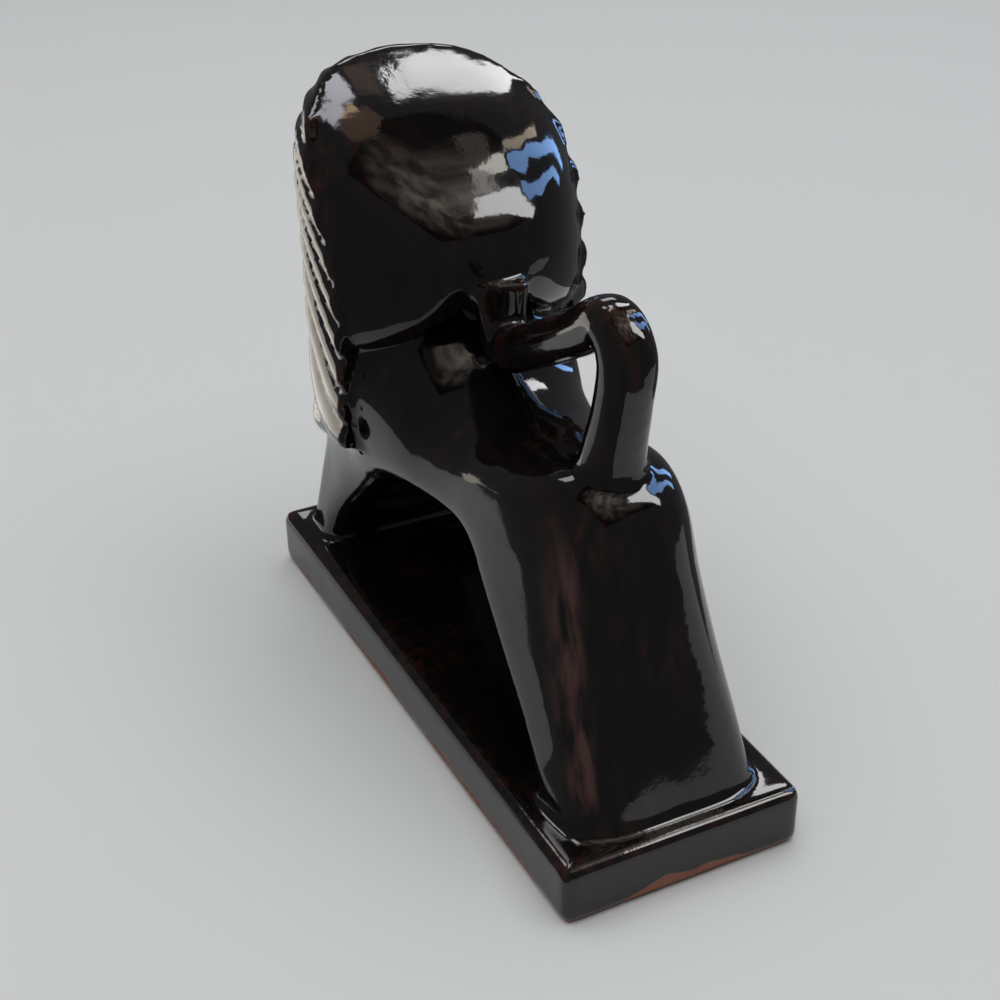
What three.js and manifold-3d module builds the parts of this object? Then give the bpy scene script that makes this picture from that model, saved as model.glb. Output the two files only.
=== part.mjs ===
// Standing lion on its long plinth, one hollow-cast piece of black glazed earthenware.
// Millimetres, +X towards the head, +Y the lion's left, +Z up, origin under the middle of the plinth.
import * as THREE from 'three';
import { mergeVertices } from 'three/addons/utils/BufferGeometryUtils.js';
import Module from 'manifold-3d';

// Plinth
const plinthLength = 241;
const plinthWidth = 87.2;
const plinthHeight = 22;
const plinthCornerRadius = 3.4;
const plinthBevel = 2;
const plinthCornerSteps = 4;

// Figure, posed on a grid in side and front view that reaches from the soles to the crown
const figureHeight = 195;
const gridHeight = 97.5;
const gridStep = figureHeight / gridHeight;
const footSink = 2;

// Body and legs: sections that turn like a fan around the arch under the belly.
// Each row holds the inner point and the outer point in side view, the half width at both,
// how square the section is, and how far the middle of the outer edge stands out.
const bodySections = [
  { inner: [-40.5, 0], outer: [-57.2, 0], width: [17.6, 16.5], square: 3.8, crown: -0.4 },
  { inner: [-35, 9], outer: [-54.6, 10], width: [17.6, 15.2], square: 3.4, crown: -0.7 },
  { inner: [-25, 19.8], outer: [-50.9, 22.5], width: [17.7, 13.7], square: 3.1, crown: -0.7 },
  { inner: [-18, 27], outer: [-47.2, 35.5], width: [17.7, 12.5], square: 2.9, crown: -0.4 },
  { inner: [-13.8, 30.4], outer: [-43, 48], width: [17.4, 12.2], square: 2.8, crown: 0 },
  { inner: [-10.6, 31.8], outer: [-35, 53], width: [17.0, 12.4], square: 2.8, crown: 0.2 },
  { inner: [-7.4, 32.2], outer: [-22.5, 51.4], width: [16.6, 13], square: 2.8, crown: 0.6 },
  { inner: [-3.6, 31.8], outer: [-9.5, 49.4], width: [16.4, 13.6], square: 2.4, crown: 1.2 },
  { inner: [2, 30.8], outer: [3, 52], width: [16.8, 16], square: 2.2, crown: 1.8 },
  { inner: [10.5, 28.5], outer: [13.5, 59.6], width: [17.6, 21], square: 1.9, crown: 1.8 },
  { inner: [19, 24.5], outer: [28, 65], width: [18.0, 25], square: 1.8, crown: 0 },
  { inner: [28, 18], outer: [42, 52], width: [17.9, 18.2], square: 3.2, crown: 0 },
  { inner: [36, 11.5], outer: [50, 32], width: [18.0, 15.0], square: 3.4, crown: 0 },
  { inner: [41.6, 5], outer: [54, 15], width: [18.0, 15.8], square: 3.8, crown: 0 },
  { inner: [43.4, 0], outer: [56.4, 0], width: [18.4, 17.6], square: 4.4, crown: 0 },
];
const bellySquare = 5;
const bodySteps = 34;
const bodySides = 28;

// Tail: up from the rump, a bend, a bar down to the back, and a flared tuft
const tailPath = [[-33, 47], [-34.8, 56], [-37, 65], [-37.8, 73], [-33, 76.4], [-24, 71.2], [-12, 63.9], [-2, 58.35]];
const tailWidths = [12.6, 9.8, 8.8, 8.8, 8.4, 8.0, 7.8, 8.0];
const tailSteps = 30;
const tailSides = 14;
const tailSquare = 2.35;
const bulbSwell = 1;
const bulbForward = 0.3;
const bulbSides = 14;
const tuftFoot = [2.6, 55];
const tuftTop = [3.4, 68.6];
const tuftWidths = [5.8, 9.4];
const tuftThickness = 4.2;
const tuftTwist = 0.25;
const tuftLevels = 4;
const tuftRidges = 5;
const tuftRidgeDepth = 0.35;

// Mane: the scalloped rim in front view, from the crown of the head down to the chest
const rimOutline = [[0, 96.8], [10.8, 95.8], [17, 93.2], [21, 89.4], [23, 85.4], [23.8, 79], [23.6, 71],
  [23.5, 60], [23.1, 49], [22.9, 41], [22.4, 35.6], [15, 31.4], [0, 30]];
const rimRearX = 16.6;
const rimRadius = 41;
const rimCentreZ = 57.8;
const rimFootSlope = 0.14;
const rimReach = 0.98;
const faceEdge = [[50, 0, 87], [50, 8, 85], [49.8, 12.8, 78], [49.8, 14.2, 66], [50.2, 14.6, 52], [51, 14.6, 38],
  [51.6, 14.2, 30], [52, 9, 27.4], [52, 0, 26.6]];
const hangTop = 52;
const hangFoot = 36;
const hangDrop = 9.2;
const locksPerSide = 15;
const lockSegments = 4;
const lockDepth = 1;
const lockProfile = [0, 0.72, 1, 0.8];
const lockSwirl = 0.2;
const lockCentreZ = 66;
const lockLean = 0.6;
const lockFade = 0.4;
const lockEnds = [0.75, 0.84];
const maneRings = [0, 0.06, 0.18, 0.34, 0.52, 0.7, 0.86, 1];
const maneSideTaper = 1.25;
const maneTopTaper = 1.7;

// Dome at the back of the mane
const domePole = [3, 68];
const domeOutline = [[0, 96.5], [10.6, 95.5], [16.8, 92.8], [20.6, 89], [22.6, 85.2], [23.4, 79], [23.2, 71],
  [22.6, 62], [20.4, 55.6], [15.6, 54.6], [12.2, 58], [9.4, 61], [5.4, 62.2], [3, 59.4], [0, 58.4]];
const domeRings = [0.16, 0.34, 0.52, 0.68, 0.82, 0.92, 1];
const domeSides = 40;
const domeSteepness = 1.9;
const domeUnderDrop = 14;
const domeUnderEase = 0.4;
const domeFootBack = 8;
const domeFootWidth = 5;
const domeTuckCentre = [28, 68];
const domeTuck = 0.3;

// Head: sections along X, each with its middle, half width, half height and how square it is
const skullSections = [
  { x: 36, z: 65, width: 14, height: 21, square: 2.2 },
  { x: 48.6, z: 65, width: 13.6, height: 20, square: 2.3 },
  { x: 52, z: 64.4, width: 11.6, height: 17, square: 2.3 },
  { x: 54.4, z: 64, width: 8.4, height: 12, square: 2.3 },
  { x: 55.4, z: 63.4, width: 4.6, height: 6.4, square: 2.3 },
];
const muzzleSections = [
  { x: 44, z: 57, width: 10.4, height: 9.6, square: 2.4 },
  { x: 51, z: 56.6, width: 9.2, height: 8.2, square: 2.4 },
  { x: 55, z: 56.4, width: 7.8, height: 6.6, square: 2.5 },
  { x: 57.6, z: 56.4, width: 6.2, height: 4.8, square: 2.5 },
  { x: 58.8, z: 56.4, width: 4.2, height: 3, square: 2.4 },
];
const noseSections = [
  { x: 49, z: 78, width: 5.6, height: 5, square: 2.4 },
  { x: 54, z: 71.4, width: 3.6, height: 5.4, square: 2.6 },
  { x: 57.2, z: 64.4, width: 3.2, height: 5.4, square: 2.8 },
  { x: 59.4, z: 61, width: 3.6, height: 3, square: 2.6 },
];
const headSides = 20;
const chin = { size: [5.2, 4.6, 3.6], place: [52.8, 0, 49.2] };
const brow = { size: [2.8, 5.2, 1.9], place: [52.6, 6.2, 72] };
const ear = { size: [2.8, 4, 4.4], place: [48.8, 13, 81] };
const eyeSocket = { size: [2.8, 3.9, 2.6], place: [55.6, 6.3, 67.4] };
const eye = { size: [2, 2.9, 1.6], place: [52.6, 6.2, 67.2] };
const mouth = { size: [3.4, 5.6, 0.5], place: [58, 0, 53.4] };
const lipFold = { size: [2.6, 0.35, 2.6], place: [59.6, 0, 56.4] };
const ovalSides = 12;

const wasm = await Module();
wasm.setup();

function loft(rings) {
  const sides = rings[0].length;
  const positions = [];
  const push = (p) => positions.push(p.x, p.y, p.z);
  const triangle = (a, b, c) => {
    push(a);
    push(b);
    push(c);
  };
  for (let r = 0; r + 1 < rings.length; r += 1) {
    for (let s = 0; s < sides; s += 1) {
      const next = (s + 1) % sides;
      const [a, b, c, d] = [rings[r][s], rings[r][next], rings[r + 1][next], rings[r + 1][s]];
      if (a.distanceToSquared(c) < b.distanceToSquared(d)) {
        triangle(a, b, c);
        triangle(a, c, d);
      } else {
        triangle(a, b, d);
        triangle(b, c, d);
      }
    }
  }
  const cap = (ring, flip) => {
    const centre = ring.reduce((sum, p) => sum.add(p), new THREE.Vector3()).divideScalar(sides);
    for (let s = 0; s < sides; s += 1) {
      const next = ring[(s + 1) % sides];
      if (flip) triangle(centre, next, ring[s]);
      else triangle(centre, ring[s], next);
    }
  };
  cap(rings[0], true);
  cap(rings[rings.length - 1], false);
  const geometry = new THREE.BufferGeometry();
  geometry.setAttribute('position', new THREE.Float32BufferAttribute(positions, 3));
  return geometry;
}

function toSolid(geometry) {
  const bare = geometry.clone();
  for (const name of ['normal', 'uv']) bare.deleteAttribute(name);
  const merged = mergeVertices(bare, 1e-4);
  const index = Uint32Array.from(merged.index.array);
  const points = Float32Array.from(merged.attributes.position.array);
  const point = (i) => new THREE.Vector3().fromArray(points, 3 * i);
  let volume = 0;
  for (let i = 0; i < index.length; i += 3) {
    volume += point(index[i]).dot(point(index[i + 1]).cross(point(index[i + 2])));
  }
  if (volume < 0) index.reverse();
  return new wasm.Manifold(new wasm.Mesh({ numProp: 3, vertProperties: points, triVerts: index }));
}

function toGeometry(solid) {
  const mesh = solid.getMesh();
  const geometry = new THREE.BufferGeometry();
  geometry.setAttribute('position', new THREE.Float32BufferAttribute(mesh.vertProperties, 3));
  geometry.setIndex(new THREE.Uint32BufferAttribute(mesh.triVerts, 1));
  return geometry;
}

// A point of the figure from its place on the grid, with the soles on the plinth
function figurePoint(x, y, z) {
  return new THREE.Vector3(x * gridStep, y * gridStep, plinthHeight + z * gridStep);
}

function valueCurve(values) {
  const curve = new THREE.SplineCurve(values.map((value, i) => new THREE.Vector2(i, value)));
  return (t) => curve.getPoint(t).y;
}

function planeCurve(points) {
  return new THREE.SplineCurve(points.map(([x, z]) => new THREE.Vector2(x, z)));
}

const signedPower = (value, power) => Math.sign(value) * Math.abs(value) ** power;

function plinthGeometry() {
  const length = plinthLength - 2 * plinthBevel;
  const width = plinthWidth - 2 * plinthBevel;
  const radius = plinthCornerRadius - plinthBevel;
  const outline = new THREE.Shape();
  outline.absarc(length / 2 - radius, width / 2 - radius, radius, 0, Math.PI / 2);
  outline.absarc(radius - length / 2, width / 2 - radius, radius, Math.PI / 2, Math.PI);
  outline.absarc(radius - length / 2, radius - width / 2, radius, Math.PI, 1.5 * Math.PI);
  outline.absarc(length / 2 - radius, radius - width / 2, radius, 1.5 * Math.PI, 2 * Math.PI);
  const geometry = new THREE.ExtrudeGeometry(outline, {
    depth: plinthHeight - 2 * plinthBevel,
    bevelSize: plinthBevel,
    bevelThickness: plinthBevel,
    bevelSegments: 2,
    curveSegments: plinthCornerSteps,
  });
  return geometry.translate(0, 0, plinthBevel);
}

function bodyGeometry() {
  const inner = planeCurve(bodySections.map((row) => row.inner));
  const outer = planeCurve(bodySections.map((row) => row.outer));
  const innerWidth = valueCurve(bodySections.map((row) => row.width[0]));
  const outerWidth = valueCurve(bodySections.map((row) => row.width[1]));
  const square = valueCurve(bodySections.map((row) => row.square));
  const crown = valueCurve(bodySections.map((row) => row.crown));
  const rings = [];
  for (let step = 0; step <= bodySteps; step += 1) {
    const t = step / bodySteps;
    const from = inner.getPoint(t);
    const to = outer.getPoint(t);
    const sink = step === 0 || step === bodySteps ? footSink : 0;
    const depth = from.distanceTo(to);
    const ring = [];
    for (let side = 0; side < bodySides; side += 1) {
      const angle = (2 * Math.PI * side) / bodySides;
      const power = 2 / (Math.cos(angle) < 0 ? bellySquare : square(t));
      const across = signedPower(Math.sin(angle), power);
      const along = 0.5 + 0.5 * signedPower(Math.cos(angle), power);
      const lift = (crown(t) / depth) * (1 - Math.abs(across)) * Math.max(0, Math.cos(angle)) ** 0.5;
      const width = THREE.MathUtils.lerp(innerWidth(t), outerWidth(t), along);
      const place = from.clone().lerp(to, along + lift);
      ring.push(figurePoint(place.x, across * width, place.y - sink));
    }
    rings.push(ring);
  }
  return loft(rings);
}

function tailGeometry() {
  const path = planeCurve(tailPath);
  const widths = valueCurve(tailWidths);
  const rings = [];
  for (let step = 0; step <= tailSteps; step += 1) {
    const t = step / tailSteps;
    const place = path.getPoint(t);
    const tangent = path.getTangent(t);
    const radius = widths(t) / 2;
    const ring = [];
    for (let side = 0; side < tailSides; side += 1) {
      const angle = (2 * Math.PI * side) / tailSides;
      const across = radius * signedPower(Math.cos(angle), 2 / tailSquare);
      const out = radius * signedPower(Math.sin(angle), 2 / tailSquare);
      ring.push(figurePoint(place.x - tangent.y * out, across, place.y + tangent.x * out));
    }
    rings.push(ring);
  }
  return loft(rings);
}

function bulbGeometry() {
  const [x, z] = tailPath[tailPath.length - 1];
  const radius = (tailWidths[tailWidths.length - 1] / 2) * bulbSwell;
  const centre = figurePoint(x + bulbForward, 0, z);
  const ball = new THREE.SphereGeometry(radius * gridStep, bulbSides, bulbSides - 4);
  return ball.translate(centre.x, centre.y, centre.z);
}

function tuftGeometry() {
  const rings = [];
  const perSide = tuftRidges * 2;
  for (let level = 0; level <= tuftLevels; level += 1) {
    const t = level / tuftLevels;
    const x = THREE.MathUtils.lerp(tuftFoot[0], tuftTop[0], t);
    const z = THREE.MathUtils.lerp(tuftFoot[1], tuftTop[1], t);
    const half = THREE.MathUtils.lerp(tuftWidths[0], tuftWidths[1], t) / 2;
    const turn = tuftTwist * t;
    const ring = [];
    const add = (across, back) => {
      const forward = -back * Math.cos(turn) + across * Math.sin(turn);
      const left = across * Math.cos(turn) + back * Math.sin(turn);
      ring.push(figurePoint(x + forward, left, z));
    };
    for (let i = 0; i <= perSide; i += 1) {
      const notch = i % 2 === 0 && i > 0 && i < perSide ? tuftRidgeDepth : 0;
      add(half * (1 - (2 * i) / perSide), tuftThickness / 2 - notch);
    }
    for (let i = 0; i <= 2; i += 1) add(half * (i - 1), -tuftThickness / 2);
    rings.push(ring);
  }
  return loft(rings);
}

function rimX(z) {
  if (z < rimCentreZ) return rimRearX + rimFootSlope * (rimCentreZ - z);
  const rise = Math.min(z - rimCentreZ, rimRadius * rimReach);
  return rimRearX + rimRadius - Math.sqrt(rimRadius ** 2 - rise ** 2);
}

// Share of the way down one side of a mane ring, with the locks drawn up towards the face
const lockPlace = (q, t) => q - lockSwirl * t * Math.sin(Math.PI * q);

function maneGeometry() {
  const rim = planeCurve(rimOutline);
  const face = new THREE.CatmullRomCurve3(faceEdge.map((point) => new THREE.Vector3(...point)));
  const half = locksPerSide * lockSegments;
  const rings = maneRings.map((t) => {
    const forward = Math.sin((Math.PI / 2) * t);
    const inward = t ** maneSideTaper;
    const downward = t ** maneTopTaper;
    const ring = [];
    for (let i = -half; i < half; i += 1) {
      const place = lockPlace(Math.abs(i) / half, t);
      const a = rim.getPointAt(place);
      const b = face.getPointAt(place);
      const x = THREE.MathUtils.lerp(rimX(a.y), b.x, forward);
      const y = THREE.MathUtils.lerp(a.x, b.y, inward);
      const hang = 1 - THREE.MathUtils.smoothstep(a.y, hangFoot, hangTop);
      const z = THREE.MathUtils.lerp(a.y, b.z, downward) - hangDrop * hang * forward;
      const reach = (1 - lockFade * t) * (1 - THREE.MathUtils.smoothstep(place, ...lockEnds));
      const relief = lockDepth * lockProfile[Math.abs(i) % lockSegments] * reach;
      const out = new THREE.Vector2(y, (z - lockCentreZ) * lockLean).normalize().multiplyScalar(relief);
      ring.push(figurePoint(x, Math.sign(i) * (y + out.x), z + out.y));
    }
    return ring;
  });
  return loft(rings);
}

function domeGeometry() {
  const outline = planeCurve(domeOutline);
  const half = domeSides / 2;
  const rings = domeRings.map((share) => {
    const round = (Math.cosh(domeSteepness * share) - 1) / (Math.cosh(domeSteepness) - 1);
    const ring = [];
    for (let i = -half; i < half; i += 1) {
      const at = outline.getPointAt(Math.abs(i) / half);
      const side = i < 0 ? -1 : 1;
      const y = at.x * share;
      const z = THREE.MathUtils.lerp(domePole[1], at.y, share);
      const under = THREE.MathUtils.clamp((domePole[1] - at.y) / domeUnderDrop, 0, 1);
      const bulge = THREE.MathUtils.lerp(round, share, under * domeUnderEase);
      const back = domeFootBack * under * (1 - THREE.MathUtils.smoothstep(at.x, 0, domeFootWidth));
      const x = THREE.MathUtils.lerp(domePole[0], rimX(at.y) - back, bulge);
      ring.push(figurePoint(x, side * y, z));
    }
    return ring;
  });
  const centre = figurePoint(domeTuckCentre[0], 0, domeTuckCentre[1]);
  rings.push(rings[rings.length - 1].map((p) => p.clone().lerp(centre, domeTuck)));
  return loft(rings);
}

function sectionLoft(sections) {
  return loft(sections.map(({ x, z, width, height, square }) => {
    const ring = [];
    for (let side = 0; side < headSides; side += 1) {
      const angle = (2 * Math.PI * side) / headSides;
      const y = width * signedPower(Math.sin(angle), 2 / square);
      const rise = height * signedPower(Math.cos(angle), 2 / square);
      ring.push(figurePoint(x, y, z + rise));
    }
    return ring;
  }));
}

function ovalGeometry({ size, place }, side) {
  const centre = figurePoint(place[0], side * place[1], place[2]);
  const radii = size.map((value) => value * gridStep);
  return new THREE.SphereGeometry(1, ovalSides, ovalSides / 2).scale(...radii).translate(centre.x, centre.y, centre.z);
}

const glaze = new THREE.MeshStandardMaterial({ color: 0x0b090a, roughness: 0.12, metalness: 0 });

const join = (solid, form) => solid.add(toSolid(form));
const cut = (solid, form) => solid.subtract(toSolid(form));

const pair = (form) => [-1, 1].map((side) => ovalGeometry(form, side));

const bodyForms = [bodyGeometry(), tailGeometry(), bulbGeometry(), tuftGeometry(), maneGeometry(), domeGeometry()];
const headForms = [sectionLoft(skullSections), ...pair(brow), ...pair(ear)];
const muzzleForms = [...pair(eye), ovalGeometry(chin, 1), sectionLoft(muzzleSections)];
const mouthForms = [ovalGeometry(mouth, 1), ovalGeometry(lipFold, 1)];

let lion = [...bodyForms, ...headForms].reduce(join, toSolid(plinthGeometry()));
lion = pair(eyeSocket).reduce(cut, lion);
lion = muzzleForms.reduce(join, lion);
lion = mouthForms.reduce(cut, lion);
lion = join(lion, sectionLoft(noseSections));

const figurine = new THREE.Group();
const mesh = new THREE.Mesh(toGeometry(lion), glaze);
mesh.name = 'lion_on_plinth';
figurine.add(mesh);

export default figurine;
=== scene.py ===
import math

import bpy
import numpy as np
from mathutils import Euler, Matrix, Vector


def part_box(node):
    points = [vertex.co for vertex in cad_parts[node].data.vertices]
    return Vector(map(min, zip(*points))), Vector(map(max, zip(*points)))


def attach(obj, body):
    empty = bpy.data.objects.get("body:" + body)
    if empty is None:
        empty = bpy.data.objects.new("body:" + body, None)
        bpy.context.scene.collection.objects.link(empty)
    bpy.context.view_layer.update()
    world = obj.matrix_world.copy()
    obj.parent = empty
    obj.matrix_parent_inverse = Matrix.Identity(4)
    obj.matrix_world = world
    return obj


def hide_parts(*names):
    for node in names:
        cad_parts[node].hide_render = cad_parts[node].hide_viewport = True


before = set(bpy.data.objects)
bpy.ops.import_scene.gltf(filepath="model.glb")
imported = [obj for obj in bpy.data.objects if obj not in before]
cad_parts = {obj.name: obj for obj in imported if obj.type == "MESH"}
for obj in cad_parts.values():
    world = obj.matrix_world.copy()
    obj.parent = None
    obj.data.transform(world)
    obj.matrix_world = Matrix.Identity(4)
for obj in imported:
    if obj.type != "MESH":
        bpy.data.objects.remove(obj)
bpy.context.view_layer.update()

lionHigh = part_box("lion_on_plinth")[1]
tiny = 1e-6
curveSamples = 1201
ballSides = 40

plinth = {
    "length": 0.2409,
    "width": 0.0871,
    "height": 0.022,
    "lift": 0.00004,  # keeps the rounded underside off the floor
    "cornerRadius": 0.0034,
    "bevel": 0.0024,
    "segments": 5,
    "edgeAngle": 40,
}

# The lion is posed in steps of the solid's grid, a hair smaller so that the casting stays inside the solid
crownSteps = 97.7
gridStep = (lionHigh.z - plinth["height"]) / crownSteps


def figurePoint(x, y, z):
    return np.stack(np.broadcast_arrays(x * gridStep, y * gridStep, plinth["height"] + z * gridStep), -1)


def spline(points, t):  # a smooth curve through the points, t from 0 to 1
    p = np.asarray(points, float).reshape(len(points), -1)
    last = len(p) - 1
    s = np.clip(np.asarray(t, float), 0, 1) * last
    i = np.minimum(s.astype(int), last - 1)
    w = (s - i)[..., None]
    a, b, c, d = p[np.maximum(i - 1, 0)], p[i], p[i + 1], p[np.minimum(i + 2, last)]
    bend, twist = 2 * a - 5 * b + 4 * c - d, 3 * b - a - 3 * c + d
    return 0.5 * (2 * b + (c - a) * w + bend * w**2 + twist * w**3)


def evenSpline(points, share):  # the same curve by share of its length
    t = np.linspace(0, 1, curveSamples)
    q = spline(points, t)
    run = np.concatenate([[0], np.cumsum(np.linalg.norm(np.diff(q, axis=0), axis=1))])
    return spline(points, np.interp(np.asarray(share) * run[-1], run, t))


def value(values, t):
    return spline(values, t)[..., 0]


def signedPower(v, power):
    return np.sign(v) * np.abs(v) ** power


def smoothStep(v, low, high):
    s = np.clip((v - low) / (high - low), 0, 1)
    return s * s * (3 - 2 * s)


def deselectAll():
    if bpy.context.object and bpy.context.object.mode != "OBJECT":
        bpy.ops.object.mode_set(mode="OBJECT")
    bpy.ops.object.select_all(action="DESELECT")


def makeActive(obj):
    deselectAll()
    obj.select_set(True)
    bpy.context.view_layer.objects.active = obj


def addLoft(name, rings):  # skin over closed rings, with a fan at each end
    rings = np.asarray(rings, float)
    count, sides = rings.shape[:2]
    ends = [rings[0].mean(0), rings[-1].mean(0)]
    verts = np.concatenate([rings.reshape(-1, 3), ends])
    faces = []
    for r in range(count - 1):
        for s in range(sides):
            n = (s + 1) % sides
            faces.append((r * sides + s, r * sides + n, (r + 1) * sides + n, (r + 1) * sides + s))
    low, high = count * sides, count * sides + 1
    top = (count - 1) * sides
    for s in range(sides):
        n = (s + 1) % sides
        faces.append((low, n, s))
        faces.append((high, top + s, top + n))
    mesh = bpy.data.meshes.new(name)
    mesh.from_pydata([tuple(v) for v in verts], [], faces)
    obj = bpy.data.objects.new(name, mesh)
    bpy.context.scene.collection.objects.link(obj)
    makeActive(obj)
    bpy.ops.object.mode_set(mode="EDIT")
    bpy.ops.mesh.select_all(action="SELECT")
    bpy.ops.mesh.remove_doubles(threshold=tiny)
    bpy.ops.mesh.normals_make_consistent(inside=False)
    bpy.ops.object.mode_set(mode="OBJECT")
    return obj


def addBall(name, size, place, side=1):
    x, y, z = figurePoint(place[0], side * place[1], place[2])
    bpy.ops.mesh.primitive_uv_sphere_add(
        segments=ballSides, ring_count=ballSides // 2, radius=1, location=(x, y, z))
    ball = bpy.context.object
    ball.name = name
    ball.scale = [v * gridStep for v in size]
    makeActive(ball)
    bpy.ops.object.transform_apply(location=True, rotation=True, scale=True)
    return ball


def joinAll(name, objects):
    makeActive(objects[0])
    for o in objects[1:]:
        o.select_set(True)
    bpy.ops.object.join()
    whole = bpy.context.object
    whole.name = whole.data.name = name
    return whole


def remesh(obj, voxel):
    makeActive(obj)
    mod = obj.modifiers.new("remesh", "REMESH")
    mod.mode = "VOXEL"
    mod.voxel_size = voxel
    mod.use_smooth_shade = True
    bpy.ops.object.modifier_apply(modifier=mod.name)


def cutAway(obj, tools):
    for tool in tools:
        makeActive(obj)
        mod = obj.modifiers.new("cut", "BOOLEAN")
        mod.operation = "DIFFERENCE"
        mod.solver = "EXACT"
        mod.object = tool
        bpy.ops.object.modifier_apply(modifier=mod.name)
        bpy.data.objects.remove(tool)


# Body and legs: sections that turn like a fan around the arch under the belly
body = {
    "rows": [  # inner x, z, outer x, z, half width inside, outside, squareness, crown
        (-40.5, 0, -57.2, 0, 17.6, 16.5, 3.8, -0.4),
        (-35, 9, -54.6, 10, 17.6, 15.2, 3.4, -0.7),
        (-25, 19.8, -50.9, 22.5, 17.7, 13.7, 3.1, -0.7),
        (-18, 27, -47.2, 35.5, 17.7, 12.5, 2.9, -0.4),
        (-13.8, 30.4, -43, 48, 17.4, 12.2, 2.8, 0),
        (-10.6, 31.8, -35, 53, 17.0, 12.4, 2.8, 0.2),
        (-7.4, 32.2, -22.5, 51.4, 16.6, 13, 2.8, 0.6),
        (-3.6, 31.8, -9.5, 49.4, 16.4, 13.6, 2.4, 1.2),
        (2, 30.8, 3, 52, 16.8, 16, 2.2, 1.8),
        (10.5, 28.5, 13.5, 59.6, 17.6, 21, 1.9, 1.8),
        (19, 24.5, 28, 65, 18, 25, 1.8, 0),
        (28, 18, 42, 52, 17.9, 18.2, 3.2, 0),
        (36, 11.5, 50, 32, 18.0, 15.0, 3.4, 0),
        (41.6, 5, 54, 15, 18.0, 15.8, 3.8, 0),
        (43.4, 0, 56.4, 0, 18.4, 17.6, 4.4, 0),
    ],
    "bellySquare": 5,
    "steps": 240,
    "sides": 168,
    "footSink": 3,
}


def makeBody():
    rows = np.array(body["rows"], float)
    t = np.linspace(0, 1, body["steps"] + 1)
    inner, outer = spline(rows[:, 0:2], t), spline(rows[:, 2:4], t)
    innerWidth, outerWidth, square, crown = (value(rows[:, k], t) for k in (4, 5, 6, 7))
    depth = np.linalg.norm(outer - inner, axis=1)
    angle = np.linspace(0, 2 * math.pi, body["sides"], endpoint=False)
    cos, sin = np.cos(angle), np.sin(angle)
    rings = []
    for k in range(len(t)):
        power = 2 / np.where(cos < 0, body["bellySquare"], square[k])
        across = signedPower(sin, power)
        along = 0.5 + 0.5 * signedPower(cos, power)
        lift = crown[k] / depth[k] * (1 - np.abs(across)) * np.sqrt(np.maximum(0, cos))
        width = innerWidth[k] + (outerWidth[k] - innerWidth[k]) * along
        place = inner[k] + (outer[k] - inner[k]) * (along + lift)[:, None]
        sink = body["footSink"] if k in (0, len(t) - 1) else 0
        rings.append(figurePoint(place[:, 0], across * width, place[:, 1] - sink))
    return addLoft("body", rings)


# Tail: up from the rump, a bend, a bar down to the back, and a flared tuft
tail = {
    "path": [(-33, 47), (-34.8, 56), (-37, 65), (-37.8, 73), (-33, 76.4), (-24, 71.2), (-12, 63.9),
             (-2, 58.35)],
    "widths": [12.6, 9.8, 8.8, 8.8, 8.4, 8.0, 7.8, 8.0],
    "square": 2.35,
    "bulbSwell": 0.96,
    "bulbForward": 0.3,
    "steps": 160,
    "sides": 64,
}
tuft = {
    "foot": (2.6, 55),
    "top": (3.4, 68.6),
    "widths": (5.8, 9.4),
    "thickness": 4.2,
    "twist": 0.25,
    "ridges": 5,
    "ridgeDepth": 0.55,
    "ridgeSharpness": 6,
    "ridgeReach": 0.97,
    "across": 81,
    "levels": 24,
}


def makeTail():
    t = np.linspace(0, 1, tail["steps"] + 1)
    place = spline(tail["path"], t)
    tangent = np.gradient(place, axis=0)
    tangent /= np.linalg.norm(tangent, axis=1)[:, None]
    radius = value(tail["widths"], t) / 2
    angle = np.linspace(0, 2 * math.pi, tail["sides"], endpoint=False)
    across, out = (signedPower(f(angle), 2 / tail["square"]) for f in (np.cos, np.sin))
    rings = [
        figurePoint(p[0] - g[1] * out * r, across * r, p[1] + g[0] * out * r)
        for p, g, r in zip(place, tangent, radius)
    ]
    end = tail["path"][-1]
    swell = tail["widths"][-1] / 2 * tail["bulbSwell"]
    bulb = addBall("bulb", (swell,) * 3, (end[0] + tail["bulbForward"], 0, end[1]))
    return [addLoft("tail", rings), bulb]


def makeTuft():
    rings = []
    for t in np.linspace(0, 1, tuft["levels"] + 1):
        x, z = (a + (b - a) * t for a, b in zip(tuft["foot"], tuft["top"]))
        half = (tuft["widths"][0] + (tuft["widths"][1] - tuft["widths"][0]) * t) / 2
        turn = tuft["twist"] * t
        share = np.linspace(-1, 1, tuft["across"])
        groove = np.abs(np.cos(math.pi * tuft["ridges"] * (share + 1) / 2)) ** tuft["ridgeSharpness"]
        groove *= np.abs(share) < tuft["ridgeReach"]
        ribbed = tuft["thickness"] / 2 - tuft["ridgeDepth"] * groove
        back = np.concatenate([ribbed, np.full(tuft["across"], -tuft["thickness"] / 2)])
        across = np.concatenate([-share, share]) * half
        forward = -back * math.cos(turn) + across * math.sin(turn)
        left = across * math.cos(turn) + back * math.sin(turn)
        rings.append(figurePoint(x + forward, left, z))
    return addLoft("tuft", rings)


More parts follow.
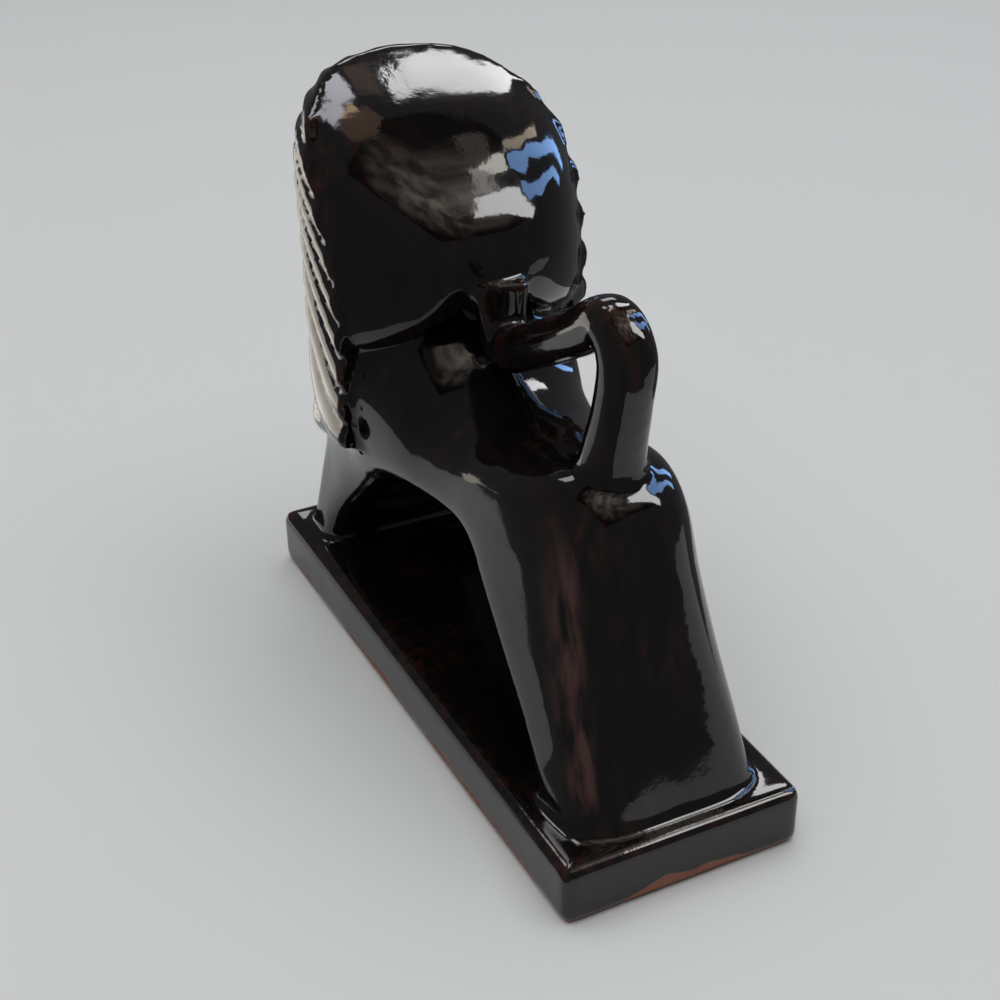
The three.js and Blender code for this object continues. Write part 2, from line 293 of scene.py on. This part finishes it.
# Mane: a collar of slanting locks with a scalloped rim, and the dome behind it
mane = {
    "rim": [(0, 96.8), (10.8, 95.8), (17, 93.2), (21, 89.4), (23, 85.4), (23.8, 79), (23.6, 71),
            (23.5, 60), (23.1, 49), (22.9, 41), (22.4, 35.6), (15, 31.4), (0, 30)],
    "face": [(50, 0, 87), (50, 8, 85), (49.8, 12.8, 78), (49.8, 14.2, 66), (50.2, 14.6, 52), (51, 14.6, 38),
             (51.6, 14.2, 30), (52, 9, 27.4), (52, 0, 26.6)],
    "rimRear": 16.6,
    "rimRadius": 41,
    "rimCentre": 57.8,
    "rimFootSlope": 0.14,
    "rimReach": 0.98,
    "hangTop": 52,
    "hangFoot": 36,
    "hangDrop": 9.2,
    "sideTaper": 1.25,
    "topTaper": 1.7,
    "locks": 15,
    "lockDepth": 1.0,
    "valley": 1.0,
    "lockTip": 0.6,
    "crownFade": (0.12, 0.32),
    "lockSwirl": 0.2,
    "lockCentre": 66,
    "lockLean": 0.6,
    "lockFade": 0.4,
    "lockEase": 0.75,
    "crownSmooth": (0.1, 0.4),
    "tipSteepness": 12,
    "lockEnds": (0.75, 0.84),
    "rings": 72,
    "perLock": 24,
}
dome = {
    "pole": (3, 68),
    "outline": [(0, 96.5), (10.6, 95.5), (16.8, 92.8), (20.6, 89), (22.6, 85.2), (23.4, 79), (23.2, 71),
                (22.6, 62), (20.4, 55.6), (15.6, 54.6), (12.2, 58), (9.4, 61), (5.4, 62.2), (3, 59.4),
                (0, 58.4)],
    "steepness": 1.9,
    "underDrop": 14,
    "underEase": 0.4,
    "footBack": 8,
    "footWidth": 5,
    "tuckCentre": (28, 68),
    "tuck": 0.3,
    "firstRing": 0.02,
    "rings": 60,
    "sides": 240,
}


def rimX(z):
    low = mane["rimRear"] + mane["rimFootSlope"] * (mane["rimCentre"] - z)
    rise = np.clip(z - mane["rimCentre"], 0, mane["rimRadius"] * mane["rimReach"])
    high = mane["rimRear"] + mane["rimRadius"] - np.sqrt(mane["rimRadius"] ** 2 - rise**2)
    return np.where(z < mane["rimCentre"], low, high)


def lockShape(phase):  # rises softly, then falls steeply to the next lock
    return np.sin(math.pi * phase ** mane["lockEase"]) ** mane["lockEase"]


def makeMane():
    half = mane["locks"] * mane["perLock"]
    index = np.arange(-half, half)
    q, side = np.abs(index) / half, np.sign(index)
    shape = lockShape(np.mod(q * mane["locks"], 1.0))
    relief = mane["lockDepth"] * shape - mane["valley"] * (1 - shape)
    crown = 1 - smoothStep(q, *mane["crownFade"])
    rings = []
    for t in np.linspace(0, 1, mane["rings"] + 1):
        place = q - mane["lockSwirl"] * t * np.sin(math.pi * q)
        a, b = evenSpline(mane["rim"], place), evenSpline(mane["face"], place)
        forward = math.sin(math.pi / 2 * t)
        hang = 1 - smoothStep(a[:, 1], mane["hangFoot"], mane["hangTop"])
        x = rimX(a[:, 1]) * (1 - forward) + b[:, 0] * forward
        y = a[:, 0] + (b[:, 1] - a[:, 0]) * t ** mane["sideTaper"]
        z = a[:, 1] + (b[:, 2] - a[:, 1]) * t ** mane["topTaper"] - mane["hangDrop"] * hang * forward
        reach = (1 - mane["lockFade"] * t) * (1 - smoothStep(place, *mane["lockEnds"]))
        reach *= 1 - crown * (1 - smoothStep(t, *mane["crownSmooth"]))
        out = np.stack([y, (z - mane["lockCentre"]) * mane["lockLean"]], -1)
        out *= (relief * reach / np.maximum(np.linalg.norm(out, axis=1), tiny))[:, None]
        tip = mane["lockTip"] * shape * reach * (1 - min(1, t * mane["tipSteepness"]))
        rings.append(figurePoint(x - tip, side * (y + out[:, 0]), z + out[:, 1]))
    return addLoft("mane", rings)


def makeDome():
    half = dome["sides"] // 2
    index = np.arange(-half, half)
    side = np.where(index < 0, -1, 1)
    at = evenSpline(dome["outline"], np.abs(index) / half)
    under = np.clip((dome["pole"][1] - at[:, 1]) / dome["underDrop"], 0, 1)
    rimPlace = rimX(at[:, 1]) - dome["footBack"] * under * (1 - smoothStep(at[:, 0], 0, dome["footWidth"]))
    rings = []
    for share in np.linspace(dome["firstRing"], 1, dome["rings"]):
        curve = (math.cosh(dome["steepness"] * share) - 1) / (math.cosh(dome["steepness"]) - 1)
        bulge = curve + (share - curve) * under * dome["underEase"]
        x = dome["pole"][0] + (rimPlace - dome["pole"][0]) * bulge
        z = dome["pole"][1] + (at[:, 1] - dome["pole"][1]) * share
        rings.append(figurePoint(x, side * at[:, 0] * share, z))
    centre = figurePoint(dome["tuckCentre"][0], 0, dome["tuckCentre"][1])
    rings.append(rings[-1] + (centre - rings[-1]) * dome["tuck"])
    return addLoft("dome", rings)


# Head: sections along X, each with its middle, half width, half height and squareness
head = {
    "skull": [(36, 65, 14, 21, 2.2), (48.6, 65, 13.6, 20, 2.3), (52, 64.4, 11.6, 17, 2.3),
              (54.4, 64, 8.4, 12, 2.3), (55.4, 63.4, 4.6, 6.4, 2.3)],
    "muzzle": [(44, 57, 10.4, 9.6, 2.4), (51, 56.6, 9.2, 8.2, 2.4), (55, 56.4, 7.8, 6.6, 2.5),
               (57.6, 56.4, 6.2, 4.8, 2.5), (58.8, 56.4, 4.2, 3, 2.4)],
    "nose": [(49, 78, 5.6, 5, 2.4), (54, 71.4, 3.6, 5.4, 2.6), (57.2, 64.4, 3.2, 5.4, 2.8),
             (59.4, 61, 3.6, 3, 2.6)],
    "chin": ((5.2, 4.6, 3.6), (52.8, 0, 49.2)),
    "brow": ((2.8, 5.2, 1.9), (52.6, 6.2, 72)),
    "ear": ((2.8, 4, 4.4), (48.8, 13, 81)),
    "earHollow": ((2.2, 2.6, 2.8), (51.4, 13.2, 81)),
    "eyeSocket": ((2.8, 3.9, 2.6), (55.6, 6.3, 67.4)),
    "eye": ((2, 2.9, 1.6), (52.6, 6.2, 67.2)),
    "mouth": ((3.4, 5.6, 0.6), (58, 0, 53.4)),
    "lipFold": ((2.6, 0.45, 2.6), (59.6, 0, 56.4)),
    "steps": 40,
    "sides": 80,
    "voxel": 0.0009,
}


def makeSections(name, rows):
    t = np.linspace(0, 1, head["steps"] + 1)
    x, z, width, height, square = (value([row[k] for row in rows], t) for k in range(5))
    angle = np.linspace(0, 2 * math.pi, head["sides"], endpoint=False)
    return addLoft(name, [
        figurePoint(x[k], width[k] * signedPower(np.sin(angle), 2 / square[k]),
                    z[k] + height[k] * signedPower(np.cos(angle), 2 / square[k]))
        for k in range(len(t))
    ])


def makePair(name):
    return [addBall(name, *head[name], side=side) for side in (-1, 1)]


def makeHead():
    face = joinAll("face", [makeSections("skull", head["skull"])] + makePair("brow") + makePair("ear"))
    remesh(face, head["voxel"])
    cutAway(face, makePair("eyeSocket") + makePair("earHollow"))
    muzzle = joinAll("muzzle", [makeSections("muzzle", head["muzzle"]), addBall("chin", *head["chin"])])
    remesh(muzzle, head["voxel"])
    cutAway(muzzle, [addBall("mouth", *head["mouth"]), addBall("lipFold", *head["lipFold"])])
    return [face, muzzle, makeSections("nose", head["nose"])] + makePair("eye")


def makePlinth():
    bpy.ops.mesh.primitive_cube_add(size=1, location=(0, 0, (plinth["height"] + plinth["lift"]) / 2))
    block = bpy.context.object
    block.name = "plinth"
    block.scale = (plinth["length"], plinth["width"], plinth["height"] - plinth["lift"])
    makeActive(block)
    bpy.ops.object.transform_apply(location=True, rotation=True, scale=True)
    bpy.ops.object.mode_set(mode="EDIT")
    bpy.ops.mesh.select_all(action="DESELECT")
    bpy.ops.object.mode_set(mode="OBJECT")
    for edge in block.data.edges:
        a, b = (block.data.vertices[i].co for i in edge.vertices)
        edge.select = abs(a.z - b.z) > plinth["height"] / 2
    bpy.ops.object.mode_set(mode="EDIT")
    bpy.ops.mesh.select_mode(type="EDGE")
    bpy.ops.mesh.bevel(offset=plinth["cornerRadius"], segments=plinth["segments"])
    bpy.ops.object.mode_set(mode="OBJECT")
    mod = block.modifiers.new("edges", "BEVEL")
    mod.width = plinth["bevel"]
    mod.segments = plinth["segments"]
    mod.limit_method = "ANGLE"
    mod.angle_limit = math.radians(plinth["edgeAngle"])
    bpy.ops.object.modifier_apply(modifier=mod.name)
    return block


casting = {
    "voxel": 0.0014,
    "quickCoarser": 2,
    "edgeSmoothing": 3,  # passes over everything
    "smoothing": 14,  # passes over the lion alone
    "shrink": 0.62,
    "regrow": 0.45,
    "lionFrom": (-0.004, 0.002),  # about the plinth's top
    "carvedShare": 0.12,  # of the lion's smoothing, on the locks and the tuft
    "lockEdge": (-0.6, 0.8),
    "lockFoot": (24, 28),
    "faceCentre": 55,
    "faceReach": (17, 20),
    "tuftMiddle": (3.2, 0, 63.4),
    "tuftReach": (3.2, 5.4, 6.4),
    "tuftEdge": 0.6,
    "thinSpread": 4,
    "thinGain": 9,
}


def smoothed(mesh, passes, share):
    count = len(mesh.vertices)
    co = np.zeros(count * 3)
    mesh.vertices.foreach_get("co", co)
    co = co.reshape(-1, 3)
    ends = np.zeros(len(mesh.edges) * 2, int)
    mesh.edges.foreach_get("vertices", ends)
    a, b = ends.reshape(-1, 2).T
    degree = np.bincount(a, minlength=count) + np.bincount(b, minlength=count)

    def neighbours(p):
        sums = [np.bincount(a, v[b], count) + np.bincount(b, v[a], count) for v in p.T]
        return np.stack(sums, -1) / np.maximum(degree, 1)[:, None]

    for _ in range(passes):
        co = co + share[:, None] * (neighbours(co) - co) * casting["shrink"]
        co = co - share[:, None] * (neighbours(co) - co) * casting["regrow"]
    mesh.vertices.foreach_set("co", co.ravel())
    mesh.update()
    return neighbours


def carved(x, y, z):  # where the locks and the tuft are, 0 to 1
    locks = smoothStep(x - rimX(z), *casting["lockEdge"]) * smoothStep(z, *casting["lockFoot"])
    locks *= smoothStep(np.hypot(y, z - casting["faceCentre"]), *casting["faceReach"])
    brush = 1
    for v, middle, reach in zip((x, y, z), casting["tuftMiddle"], casting["tuftReach"]):
        edge = casting["tuftEdge"]
        brush = brush * (1 - smoothStep(np.abs(v - middle), reach - edge, reach + edge))
    return np.maximum(locks, brush)


def makeCasting():
    parts = [makePlinth(), makeBody(), *makeTail(), makeTuft(), makeMane(), makeDome(), *makeHead()]
    print("forms ready:", len(parts))
    lion = joinAll("lion_casting", parts)
    remesh(lion, casting["voxel"] * (1))
    mesh = lion.data
    co = np.zeros(len(mesh.vertices) * 3)
    mesh.vertices.foreach_get("co", co)
    x, y, z = co.reshape(-1, 3).T
    top = plinth["height"]
    share = smoothStep(z, top + casting["lionFrom"][0], top + casting["lionFrom"][1])
    share *= 1 - (1 - casting["carvedShare"]) * carved(x / gridStep, y / gridStep, (z - top) / gridStep)
    neighbours = smoothed(mesh, casting["edgeSmoothing"], np.ones(len(z)))
    smoothed(mesh, casting["smoothing"], share)
    mesh.vertices.foreach_get("co", co)
    points = co.reshape(-1, 3)
    normals = np.zeros(len(mesh.vertices) * 3)
    mesh.vertices.foreach_get("normal", normals)
    outward = (points - neighbours(points)) * normals.reshape(-1, 3)
    bend = outward.sum(1)[:, None] / casting["voxel"]
    for _ in range(casting["thinSpread"]):
        bend = neighbours(bend)
    layer = mesh.attributes.new("thinGlaze", "FLOAT", "POINT")
    layer.data.foreach_set("value", np.clip(bend[:, 0] * casting["thinGain"], 0, 1))
    for poly in mesh.polygons:
        poly.use_smooth = True
    print("casting:", len(mesh.polygons), "faces")
    return lion


glaze = {
    "black": (0.0032, 0.0026, 0.0027, 1),
    "brown": (0.045, 0.014, 0.008, 1),
    "ridge": (0.070, 0.034, 0.028, 1),
    "clay": (0.30, 0.105, 0.055, 1),
    "clayDark": (0.19, 0.06, 0.03, 1),
    "ior": 1.55,
    "roughness": (0.045, 0.095),
    "clayRoughness": 0.6,
    # Unevenness: scale, detail, stretch along each axis, and the two levels it runs between
    "streaks": (260, 3, (1, 1, 0.12), 0.42, 0.68),
    "patches": (34, 4, (1, 1, 1), 0.5, 0.72),
    "grain": (330, 2, (0.35, 1, 0.03), 0.40, 0.62),
    "clayLine": (22, 3, (1, 1, 1), 0.42, 0.7),
    "shine": (90, 3, (1, 1, 1), 0.3, 0.8),
    "clayGrain": (700, 4),
    "patchShare": 0.5,
    "clayTop": 0.0020,
    "clayWave": 0.0058,
    "clayEdge": 0.0003,
    # The brown streak down each rear ridge of the hind legs
    "ridgeHeights": (0.03, 0.116),
    "ridgeAside": (0.0290, 0.0215),  # from the middle, at those heights
    "ridgeEdge": (0.0014, 0.0046),
    "ridgeRear": (-0.064, -0.054),
    "ridgeFoot": (0.024, 0.036),
    "ridgeTop": (0.1, 0.12),
    # Ripples: scale, detail, strength, distance
    "swell": (38, 1.5, 0.35, 0.0012),
    "peel": (420, 2, 0.05, 0.0004),
}


def makeGlaze():
    mat = bpy.data.materials.new("black_glaze")
    mat.use_nodes = True
    tree = mat.node_tree
    add, link = tree.nodes.new, tree.links.new
    shader = tree.nodes["Principled BSDF"]
    shader.inputs["IOR"].default_value = glaze["ior"]
    place = add("ShaderNodeTexCoord").outputs["Object"]

    def noise(scale, detail, stretch=(1, 1, 1)):
        turn, node = add("ShaderNodeMapping"), add("ShaderNodeTexNoise")
        turn.inputs["Scale"].default_value = stretch
        node.inputs["Scale"].default_value = scale
        node.inputs["Detail"].default_value = detail
        link(place, turn.inputs["Vector"])
        link(turn.outputs["Vector"], node.inputs["Vector"])
        return node.outputs["Fac"]

    def ramp(source, low, high, a=0.0, b=1.0):
        node = add("ShaderNodeMapRange")
        for name, v in (("From Min", low), ("From Max", high), ("To Min", a), ("To Max", b)):
            node.inputs[name].default_value = v
        link(source, node.inputs["Value"])
        return node.outputs["Result"]

    def uneven(name, a=0.0, b=1.0):
        scale, detail, stretch, low, high = glaze[name]
        return ramp(noise(scale, detail, stretch), low, high, a, b)

    def combine(operation, *values):
        node = add("ShaderNodeMath")
        node.operation = operation
        for k, v in enumerate(values):
            if isinstance(v, (int, float)):
                node.inputs[k].default_value = v
            else:
                link(v, node.inputs[k])
        return node.outputs[0]

    def product(first, *others):
        for v in others:
            first = combine("MULTIPLY", first, v)
        return first

    def blendColour(factor, a, b):
        node = add("ShaderNodeMix")
        node.data_type = "RGBA"
        for name, v in ((6, a), (7, b)):
            if isinstance(v, tuple):
                node.inputs[name].default_value = v
            else:
                link(v, node.inputs[name])
        link(factor, node.inputs[0])
        return node.outputs[2]

    def ripple(name):
        scale, detail, strength, distance = glaze[name]
        node = add("ShaderNodeBump")
        node.inputs["Strength"].default_value = strength
        node.inputs["Distance"].default_value = distance
        link(noise(scale, detail), node.inputs["Height"])
        return node

    axes = add("ShaderNodeSeparateXYZ")
    link(place, axes.inputs[0])
    x, y, z = (axes.outputs[k] for k in "XYZ")
    thin = add("ShaderNodeAttribute")
    thin.attribute_name = "thinGlaze"
    streaks = uneven("streaks")
    brownness = combine("MAXIMUM", product(thin.outputs["Fac"], streaks),
                        product(uneven("patches"), streaks, glaze["patchShare"]))

    ridgeLine = ramp(z, *glaze["ridgeHeights"], *glaze["ridgeAside"])
    aside = combine("ABSOLUTE", combine("SUBTRACT", combine("ABSOLUTE", y), ridgeLine))
    ridge = product(ramp(aside, *glaze["ridgeEdge"], 1, 0), ramp(x, *glaze["ridgeRear"], 1, 0),
                    ramp(z, *glaze["ridgeFoot"]), ramp(z, *glaze["ridgeTop"], 1, 0), uneven("grain"))
    glazeColour = blendColour(brownness, glaze["black"], glaze["brown"])
    glazeColour = blendColour(ridge, glazeColour, glaze["ridge"])

    clayLine = combine("ADD", product(uneven("clayLine"), glaze["clayWave"]), glaze["clayTop"])
    bare = ramp(combine("SUBTRACT", clayLine, z), -glaze["clayEdge"], glaze["clayEdge"])
    clayColour = blendColour(noise(*glaze["clayGrain"]), glaze["clay"], glaze["clayDark"])
    link(blendColour(bare, glazeColour, clayColour), shader.inputs["Base Color"])
    shine = uneven("shine", *glaze["roughness"])
    link(combine("ADD", shine, product(bare, glaze["clayRoughness"])), shader.inputs["Roughness"])

    swell, peel = ripple("swell"), ripple("peel")
    link(swell.outputs["Normal"], peel.inputs["Normal"])
    link(peel.outputs["Normal"], shader.inputs["Normal"])
    return mat


lion = makeCasting()
lion.data.materials.clear()
lion.data.materials.append(makeGlaze())
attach(lion, "root")
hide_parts("lion_on_plinth")
print("glaze on")


# Floor, light and camera: the glaze mirrors only the near part of the floor, as in a dark room
studio = {
    "floor": (0.66, 0.67, 0.67, 1),
    "floorRoughness": 0.9,
    "floorSpecular": 0.1,
    "outline": [(-2, -2.5), (3, -2.5), (3, 2.5), (-2, 2.5)],
    "world": (0.105, 0.107, 0.115, 1),
    "middle": (0, 0, 0.12),
    "lightPlace": (0, 0, 2.2),
    "lightSize": 3.2,
    "lightPower": 62,
}
nearFloor = {  # the parts of the floor that the glaze mirrors
    "height": 0.0004,
    "outlines": {
        "near_floor": [(-0.26, -0.22), (0.9, -0.22), (0.9, 0.6), (0.41, 0.33), (0.16, 0.21), (0.06, 0.175),
                       (-0.04, 0.11), (-0.05, 0.067), (-0.26, 0.067)],
        "side_floor": [(-0.26, -0.55), (-0.1, -0.55), (-0.1, -0.22), (-0.26, -0.22)],
        "rear_floor": [(-0.4, -0.5), (-0.26, -0.5), (-0.26, -0.15), (-0.34, -0.18)],
    },
}
farFloor = {  # pale ground further off, mirrored by the locks
    "colour": (1.6, 1.5, 1.34),
    "height": 0.0008,
    "outline": [(0.24, 0.03), (2.8, 0.1), (2.8, 1.5), (0.62, 0.5), (0.3, 0.22), (0.24, 0.13)],
}
# Bright shapes that the glaze mirrors: a colour, then corners in degrees off the vertical, along +X and +Y
panelDistance = 9
panels = {
    "front": ((7.4, 7.4, 7.4), [
        (28.7, -21.2), (36.7, -22.2), (38.6, -26), (37.6, -36), (37.6, -43), (40.5, -49), (36.5, -48.5),
        (31.5, -44), (29, -38), (27.4, -28.6)]),
    "frontGlow": ((0.5, 0.4, 0.34), [(30, -14), (37, -16), (38, -21), (29, -20)]),
    "beam": ((5.2, 5.1, 5.6), [
        (17.8, 11.4), (20.6, 11), (25.6, 3), (27, -1.2), (31, -4), (36, -5), (36.6, -13), (29, -12.6),
        (27.2, -9), (25.8, -4), (22, -0.6), (20.6, 3.4), (18.8, 8)]),
    "lamp": ((4.2, 2.9, 1.7), [
        (20.6, 3), (22.2, 0), (24.4, -3.4), (26.4, -8.8), (23.8, -9), (21.2, -4.6)]),
    "wood": ((0.62, 0.42, 0.3), [
        (14, 9), (18, 9), (20.6, 1), (23.4, -9), (26, -13), (22, -15), (15, -6)]),
    "band": ((3, 2.9, 2.7), [(-15, -23.6), (0, -23.6), (0, -26.4), (-15, -26.4)]),
    "bandRight": ((0.5, 0.46, 0.4), [(0, -24), (14, -24), (14, -26), (0, -26)]),
    "fillet": ((4, 4, 4), [(30, 4), (40, 3), (42, 14), (32, 16)]),
    "glare": ((6.5, 6.3, 5.8), [(-5, -25), (4.4, -25), (5.4, -30), (-3.4, -29.6)]),
    "rear": ((8.5, 8.5, 8.5), [
        (-31, -24), (-17.4, -23.6), (-13, -28.6), (-13.6, -36), (-18, -38), (-22.4, -46), (-24.6, -55),
        (-33, -55), (-34, -38)]),
    "bright": ((3, 3, 3), [(50, -34), (60, -34), (62, -14), (53, -13)]),
    "pane": ((1.6, 2.9, 5.6), [
        (-16, -38.6), (-9, -37.5), (-8, -42), (-9.5, -46), (-7, -51), (-4, -56), (3, -60.5), (8, -66),
        (17, -72), (26, -84), (20, -86), (11, -74), (-1, -66), (-12, -61), (-15, -54), (-21, -47)]),
    "paneRight": ((1.6, 2.9, 5.6), [
        (-2, -31), (5, -32), (7, -42), (13, -46), (17, -54), (21, -60), (29, -65), (38, -72), (46, -82),
        (40, -84), (30, -73), (22, -66.5), (14, -61), (8, -55), (5, -46), (-4, -42.5)]),
    "frame": ((2.9, 2.5, 2), [
        (5.8, -30.4), (11, -31), (13.4, -38), (17.6, -45), (24, -52), (27.4, -57.5), (22.5, -57.5),
        (18.4, -52), (14, -44.6), (8.2, -40)]),
}
ceiling = {  # dim and uneven, brightest in the middle
    "toward": (-160, 71),
    "distance": 9.5,
    "size": 13,
    "noise": (7, 3),
    "low": (0.40, (0.32, 0.29, 0.25, 1)),
    "high": (0.72, (2.4, 2.1, 1.8, 1)),
}


def toward(azimuth, elevation):
    a, e = math.radians(azimuth), math.radians(elevation)
    return Vector((math.cos(e) * math.cos(a), math.cos(e) * math.sin(a), math.sin(e)))


def overhead(x, y):  # place of a panel's corner
    side = toward(math.degrees(math.atan2(y, x)), 90 - math.hypot(x, y))
    return tuple(side * panelDistance + Vector(studio["middle"]))


def stageMaterial(obj):
    mat = bpy.data.materials.new(obj.name)
    mat.use_nodes = True
    obj.data.materials.append(mat)
    return mat.node_tree


def addShape(name, points):
    mesh = bpy.data.meshes.new(name)
    mesh.from_pydata(points, [], [range(len(points))])
    shape = bpy.data.objects.new(name, mesh)
    bpy.context.scene.collection.objects.link(shape)
    return shape


def onlyMirrored(obj):
    obj.visible_camera = obj.visible_diffuse = obj.visible_shadow = False


def makeFloor(name, outline, height=0.0):
    floor = addShape(name, [(x, y, height) for x, y in outline])
    shader = stageMaterial(floor).nodes["Principled BSDF"]
    shader.inputs["Base Color"].default_value = studio["floor"]
    shader.inputs["Roughness"].default_value = studio["floorRoughness"]
    shader.inputs["Specular IOR Level"].default_value = studio["floorSpecular"]
    return floor


def makeGlow(name, points, colour):
    glow = addShape(name, points)
    shader = stageMaterial(glow).nodes["Principled BSDF"]
    shader.inputs["Base Color"].default_value = (0, 0, 0, 1)
    shader.inputs["Specular IOR Level"].default_value = 0
    shader.inputs["Emission Color"].default_value = (*colour, 1)
    shader.inputs["Emission Strength"].default_value = 1
    onlyMirrored(glow)


def makeSoftLight():
    data = bpy.data.lights.new("soft", "AREA")
    data.size = studio["lightSize"]
    data.energy = studio["lightPower"]
    lamp = bpy.data.objects.new("soft", data)
    lamp.location = studio["lightPlace"]
    lamp.visible_glossy = False
    bpy.context.scene.collection.objects.link(lamp)


def makeCeiling():
    side = toward(*ceiling["toward"])
    bpy.ops.mesh.primitive_plane_add(
        size=1, location=side * ceiling["distance"], rotation=side.to_track_quat("Z", "Y").to_euler())
    sheet = bpy.context.object
    sheet.name = "ceiling"
    sheet.scale = (ceiling["size"], ceiling["size"], 1)
    tree = stageMaterial(sheet)
    add, link = tree.nodes.new, tree.links.new
    place, noise, levels = add("ShaderNodeTexCoord"), add("ShaderNodeTexNoise"), add("ShaderNodeValToRGB")
    spread, fade = add("ShaderNodeMapping"), add("ShaderNodeTexGradient")
    fade.gradient_type = "SPHERICAL"
    spread.inputs["Scale"].default_value = (2, 2, 2)
    noise.inputs["Scale"].default_value, noise.inputs["Detail"].default_value = ceiling["noise"]
    for element, (position, colour) in zip(levels.color_ramp.elements, (ceiling["low"], ceiling["high"])):
        element.position = position
        element.color = colour
    shader = tree.nodes["Principled BSDF"]
    shader.inputs["Base Color"].default_value = (0, 0, 0, 1)
    link(place.outputs["Object"], noise.inputs["Vector"])
    link(place.outputs["Object"], spread.inputs["Vector"])
    link(spread.outputs["Vector"], fade.inputs["Vector"])
    link(noise.outputs["Fac"], levels.inputs["Fac"])
    link(levels.outputs["Color"], shader.inputs["Emission Color"])
    link(fade.outputs["Fac"], shader.inputs["Emission Strength"])
    onlyMirrored(sheet)


def makeStudio():
    makeFloor("floor", studio["outline"]).visible_glossy = False
    for name, outline in nearFloor["outlines"].items():
        onlyMirrored(makeFloor(name, outline, nearFloor["height"]))
    world = bpy.data.worlds.new("studio")
    world.use_nodes = True
    world.node_tree.nodes["Background"].inputs["Color"].default_value = studio["world"]
    bpy.context.scene.world = world
    makeSoftLight()
    for name, (colour, outline) in panels.items():
        makeGlow(name, [overhead(x, y) for x, y in outline], colour)
    makeGlow("far_floor", [(x, y, farFloor["height"]) for x, y in farFloor["outline"]], farFloor["colour"])
    makeCeiling()


camera = {
    "place": (-0.4779, 0.2408, 0.4031),
    "azimuth": -26.32,
    "elevation": -31.22,
    "roll": -0.845,
    "lens": 64.8,
    "sensor": 36,
    "nearest": 0.01,
}


def makeCamera():
    data = bpy.data.cameras.new("camera")
    data.lens = camera["lens"]
    data.sensor_width = camera["sensor"]
    data.clip_start = camera["nearest"]
    view = bpy.data.objects.new("camera", data)
    aim = Euler((math.radians(90 + camera["elevation"]), 0, math.radians(camera["azimuth"] - 90)))
    turn = aim.to_matrix() @ Matrix.Rotation(math.radians(camera["roll"]), 3, "Z")
    view.matrix_world = Matrix.Translation(camera["place"]) @ turn.to_4x4()
    bpy.context.scene.collection.objects.link(view)
    bpy.context.scene.camera = view


makeStudio()
makeCamera()
bpy.context.scene.view_settings.view_transform = "Standard"
print("studio ready")
